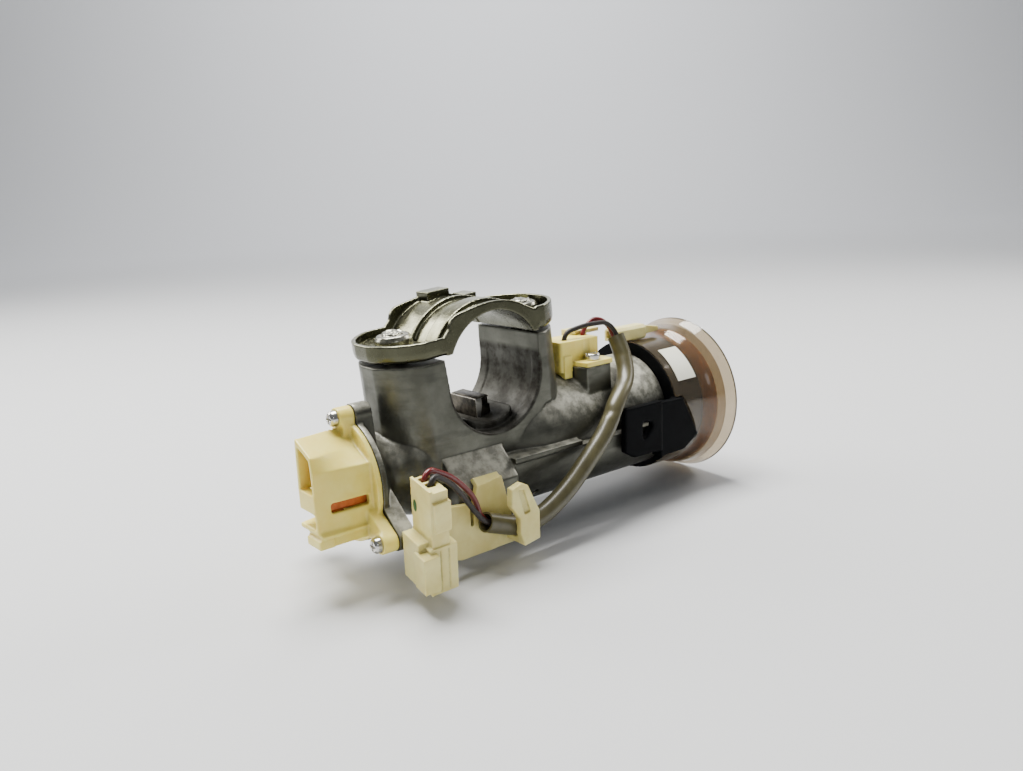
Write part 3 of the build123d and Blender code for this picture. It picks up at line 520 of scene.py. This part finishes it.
# Ignition switch: one cream nylon moulding, yellowed with age, with its plug socket open to
# the end.  The copper blades stand in the socket and the rotor and wiper turn behind it.
cream_nylon = plastic("cream_nylon", (0.97, 0.83, 0.235), (0.91, 0.74, 0.150), 0.34,
                      soften=0.30, hollow_shade=0.75, hollow_shade_reach=0.004)
contact_copper = plain_metal("contact_copper", (0.46, 0.13, 0.055), 0.34)
white_nylon = plastic("white_nylon", (0.83, 0.755, 0.32), (0.73, 0.63, 0.23), 0.33,
                      soften=0.30, hollow_shade=0.75)
seat(moulded("switch_housing", "switch_moulding", 0.00036, 3), "switch_housing",
     cream_nylon)
seat(crisp("switch_terminals", "switch_blades"), "switch_terminals",
     contact_copper)
seat(crisp("switch_rotor", "switch_turning_half"), "switch_rotor", white_nylon)
seat(crisp("rotor_contact", "wiper_plate"), "rotor_contact", contact_copper)


# Key reminder switch on its boss: a cream body with an ear, a whiter cover behind it, and a
# small plunger that reaches down to the plug.
seat(moulded("reminder_switch_body", "reminder_moulding", 0.00022, 3), "reminder_switch_body",
     cream_nylon)
seat(moulded("reminder_cover", "reminder_lid", 0.00024, 3), "reminder_cover",
     white_nylon)
seat(crisp("reminder_plunger", "reminder_pin"), "reminder_plunger", white_nylon)


# Ring holder: satin black collar on the barrel's end, with the latch arm and its D-shaped
# window on the near side.
seat(moulded("ring_holder", "holder_moulding", 0.00042, 2), "ring_holder",
     satin_black)


# Antenna ring: a smoky clear bell pushed over the holder, cut away where the latch arm comes
# through.  Its walls keep the built shape, since rounding would cloud what lies behind them.
clear_smoke = Finish("clear_smoke")
clear_smoke.set(Base_Color=(0.44, 0.36, 0.25, 1.0), Roughness=0.10, IOR=1.46,
                Transmission_Weight=0.90)
seat(crisp("antenna_ring", "clear_bell", 24.0), "antenna_ring", clear_smoke.made)


# Antenna coil: enamelled copper wire wound side by side on the bell's cone, and the white
# socket that it is wired to.  Geometry Nodes lay the turns as one spiral over the core.
class Tree:
    """A node tree for Geometry Nodes under construction, with named inputs."""

    def __init__(self, name, **sizes):
        self.group = bpy.data.node_groups.new(name, "GeometryNodeTree")
        face = self.group.interface
        face.new_socket(name="Geometry", in_out="OUTPUT", socket_type="NodeSocketGeometry")
        face.new_socket(name="Geometry", in_out="INPUT", socket_type="NodeSocketGeometry")
        for label, value in sizes.items():
            made = face.new_socket(name=label, in_out="INPUT", socket_type="NodeSocketFloat")
            made.default_value = value
        self.start = self.add("NodeGroupInput")
        self.end = self.add("NodeGroupOutput")

    def add(self, kind):
        return self.group.nodes.new(kind)

    def size(self, label):
        return self.start.outputs[label]

    def link(self, output, node, socket):
        self.group.links.new(output, node.inputs[socket])

    def close(self, shape, finish):
        real = self.add("GeometryNodeRealizeInstances")
        paint = self.add("GeometryNodeSetMaterial")
        paint.inputs["Material"].default_value = finish
        self.link(shape, real, "Geometry")
        self.link(real.outputs["Geometry"], paint, "Geometry")
        self.link(paint.outputs["Geometry"], self.end, "Geometry")


def grown(tree, name):
    """The plain mesh that a tree makes."""
    piece = bpy.data.objects.new(name, bpy.data.meshes.new(name))
    scene.collection.objects.link(piece)
    grow = piece.modifiers.new("grow", "NODES")
    grow.node_group = tree.group
    settle(piece)
    for face in piece.data.polygons:
        face.use_smooth = True
    return piece


COIL_PLACE = (0.0980, 0.0, -0.0276)
coil_copper = plain_metal("coil_copper", (1.0, 0.42, 0.075), 0.34, metal=0.15)
seat(crisp("antenna_coil", "coil_core", 24.0), "antenna_coil", coil_copper)
winding = Tree("winding", Turns=11.0, Small=0.0249, Large=0.0273, Width=0.0026, Wire=0.00018)
spiral = winding.add("GeometryNodeCurveSpiral")
spiral.inputs["Resolution"].default_value = 72
for label, socket in (("Turns", "Rotations"), ("Small", "Start Radius"), ("Large", "End Radius"),
                      ("Width", "Height")):
    winding.link(winding.size(label), spiral, socket)
wire_round = winding.add("GeometryNodeCurvePrimitiveCircle")
wire_round.inputs["Resolution"].default_value = 6
winding.link(winding.size("Wire"), wire_round, "Radius")
wound = winding.add("GeometryNodeCurveToMesh")
winding.link(spiral.outputs["Curve"], wound, "Curve")
winding.link(wire_round.outputs["Curve"], wound, "Profile Curve")
wound.inputs["Fill Caps"].default_value = True
on_ring = winding.add("GeometryNodeTransform")
on_ring.inputs["Translation"].default_value = COIL_PLACE
on_ring.inputs["Rotation"].default_value = (0.0, math.radians(90), 0.0)
winding.link(wound.outputs["Mesh"], on_ring, "Geometry")
winding.close(on_ring.outputs["Geometry"], coil_copper)
turns = grown(winding, "coil_turns")
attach(turns, "housing")
seat(moulded("antenna_connector", "antenna_socket", 0.00018, 3), "antenna_connector",
     white_nylon)


# Sticker on the bell's near side: a thin paper plate that is bent round the wall, and is
# left blank.
label_paper = plastic("label_paper", (0.86, 0.86, 0.74), (0.82, 0.82, 0.68), 0.45, hollow_shade=0.1)
seat(crisp("label_plate", "blank_sticker"), "label_plate", label_paper)


# Connector bracket hooked over the boss, and the small two-way connector it carries, which
# has a green ink spot on its end wall.
seat(moulded("connector_bracket", "bracket_moulding", 0.00026, 3), "connector_bracket",
     white_nylon)
seat(moulded("connector_housing", "connector_moulding", 0.00020, 3), "connector_housing",
     white_nylon)
seat(crisp("connector_terminals", "connector_sockets"), "connector_terminals", wafer_brass)

CONNECTOR_PLACE = (-0.0478, -0.0355, -0.0198)
CONNECTOR_ANGLES = (("X", 9.1), ("Y", -4.8), ("Z", -4.3))
INK_CORNERS = 24
to_connector = Matrix.Translation(CONNECTOR_PLACE)
for axis, angle in CONNECTOR_ANGLES:
    to_connector = to_connector @ Matrix.Rotation(math.radians(angle), 4, axis)


def inked_spot(name, centre, half_across, half_up, finish):
    """A thin oval of paint on the connector's end wall, drawn in the connector's own frame."""
    x, y, z = centre
    spots = []
    for k in range(INK_CORNERS):
        angle = 2 * math.pi * k / INK_CORNERS
        corner = Vector((x, y + half_across * math.cos(angle), z + half_up * math.sin(angle)))
        spots.append(to_connector @ corner)
    mesh = bpy.data.meshes.new(name)
    mesh.from_pydata(spots, [], [tuple(reversed(range(INK_CORNERS)))])
    mesh.materials.append(finish)
    spot = bpy.data.objects.new(name, mesh)
    scene.collection.objects.link(spot)
    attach(spot, "housing")


green_ink = plastic("green_ink", (0.006, 0.110, 0.035), (0.004, 0.080, 0.024), 0.4, hollow_shade=0.0)
inked_spot("green_spot", (-0.00003, -0.0023, -0.0077), 0.0011, 0.0020, green_ink)


# The lead: a soft olive vinyl sleeve, squeezed a little flat along its upper half, with a
# red and a black wire in it.
def vinyl(name, colour, shade, dull, coat):
    f = Finish(name)
    f.set(Roughness=dull, Coat_Weight=coat, Coat_Roughness=0.22)
    f.join(Base_Color=f.blend(f.spread(f.grain(180.0, 4.0), 0.35, 0.65), shade, colour))
    return f.made


def along(points, step_count=12):
    """Points on the smooth line that a route's own points, in millimetres, pull in."""
    line = bpy.data.curves.new("route", "CURVE")
    line.dimensions = "3D"
    line.resolution_u = step_count
    spline = line.splines.new("NURBS")
    spline.points.add(len(points) - 1)
    for spot, (x, y, z) in zip(spline.points, points):
        spot.co = (x / 1000.0, y / 1000.0, z / 1000.0, 1.0)
    spline.order_u = 3
    spline.use_endpoint_u = True
    holder = bpy.data.objects.new("route", line)
    scene.collection.objects.link(holder)
    bpy.context.view_layer.update()
    drawn = holder.evaluated_get(bpy.context.evaluated_depsgraph_get())
    mesh = bpy.data.meshes.new_from_object(drawn)
    spots = [vertex.co.copy() for vertex in mesh.vertices]
    bpy.data.objects.remove(holder)
    bpy.data.meshes.remove(mesh)
    return spots


def ring_frames(spots):
    """A steady side and up direction at each point of a line."""
    frames = []
    side_now = None
    for k, spot in enumerate(spots):
        ahead = (spots[min(k + 1, len(spots) - 1)] - spots[max(k - 1, 0)]).normalized()
        if side_now is None:
            side_now = ahead.cross(Vector((0, 0, 1))).normalized()
        side_now = (side_now - ahead * side_now.dot(ahead)).normalized()
        frames.append((ahead, side_now, ahead.cross(side_now)))
    return frames


def hose(name, spots, shape, around, wall):
    """A tube along a line; shape gives each ring's two half-widths by its place, 0 to 1."""
    mesh = bpy.data.meshes.new(name)
    verts = []
    faces = []
    frames = ring_frames(spots)
    for skin in (0.0, wall):
        for k, (spot, (ahead, across, above)) in enumerate(zip(spots, frames)):
            half_a, half_b = shape(k / (len(spots) - 1))
            for j in range(around):
                angle = 2 * math.pi * j / around
                verts.append(spot + across * (half_a - skin) * math.cos(angle)
                             + above * (half_b - skin) * math.sin(angle))
    inner = len(spots) * around
    last = inner - around
    for base in (0, inner):
        for k in range(len(spots) - 1):
            for j in range(around):
                a = base + k * around + j
                b = base + k * around + (j + 1) % around
                quad = (a, b, b + around, a + around)
                faces.append(quad if base == 0 else quad[::-1])
    for j in range(around):
        k = (j + 1) % around
        faces.append((inner + j, inner + k, k, j))
        faces.append((last + j, last + k, inner + last + k, inner + last + j))
    mesh.from_pydata(verts, [], faces)
    made = bmesh.new()
    made.from_mesh(mesh)
    bmesh.ops.recalc_face_normals(made, faces=made.faces)
    made.to_mesh(mesh)
    made.free()
    for face in mesh.polygons:
        face.use_smooth = True
    mesh.set_sharp_from_angle(angle=math.radians(60))
    piece = bpy.data.objects.new(name, mesh)
    scene.collection.objects.link(piece)
    return piece


SLEEVE_ROUTE = [
    (-19.8, -33.4, -41.6), (-11.4, -32.8, -45.0), (-5.0, -32.3, -47.3), (4.9, -32.1, -46.8),
    (18.6, -30.8, -40.6), (30.4, -29.3, -32.2), (40.6, -27.4, -25.5), (49.5, -24.2, -15.8),
    (60.6, -18.6, -10.6), (64.5, -12.7, -2.3), (63.8, -9.8, 4.0),
]
SLEEVE_HALF = 0.0033
SLEEVE_WALL = 0.0006
PINCHES = ((0.665, 0.014, 0.22), (0.78, 0.080, 0.20), (0.93, 0.020, 0.10))


def pinched(place):
    """The sleeve is flattened a little where it has been squeezed over the years."""
    flat = sum(depth * math.exp(-((place - at) / width) ** 2) for at, width, depth in PINCHES)
    return SLEEVE_HALF * (1 + 0.25 * flat), SLEEVE_HALF * (1 - flat)


sleeve_vinyl = vinyl("sleeve_vinyl", (0.090, 0.080, 0.035), (0.060, 0.052, 0.021), 0.38, 0.20)
wire_red = vinyl("wire_red", (0.17, 0.008, 0.010), (0.11, 0.005, 0.007), 0.36, 0.2)
wire_black = vinyl("wire_black", (0.013, 0.007, 0.006), (0.008, 0.005, 0.004), 0.50, 0.0)
seat(hose("vinyl_sleeve", along(SLEEVE_ROUTE), pinched, 28, SLEEVE_WALL), "wire_sleeve",
     sleeve_vinyl)
seat(crisp("lead_wire_red", "red_lead", 40.0), "lead_wire_red", wire_red)
seat(crisp("lead_wire_black", "black_lead", 40.0), "lead_wire_black", wire_black)
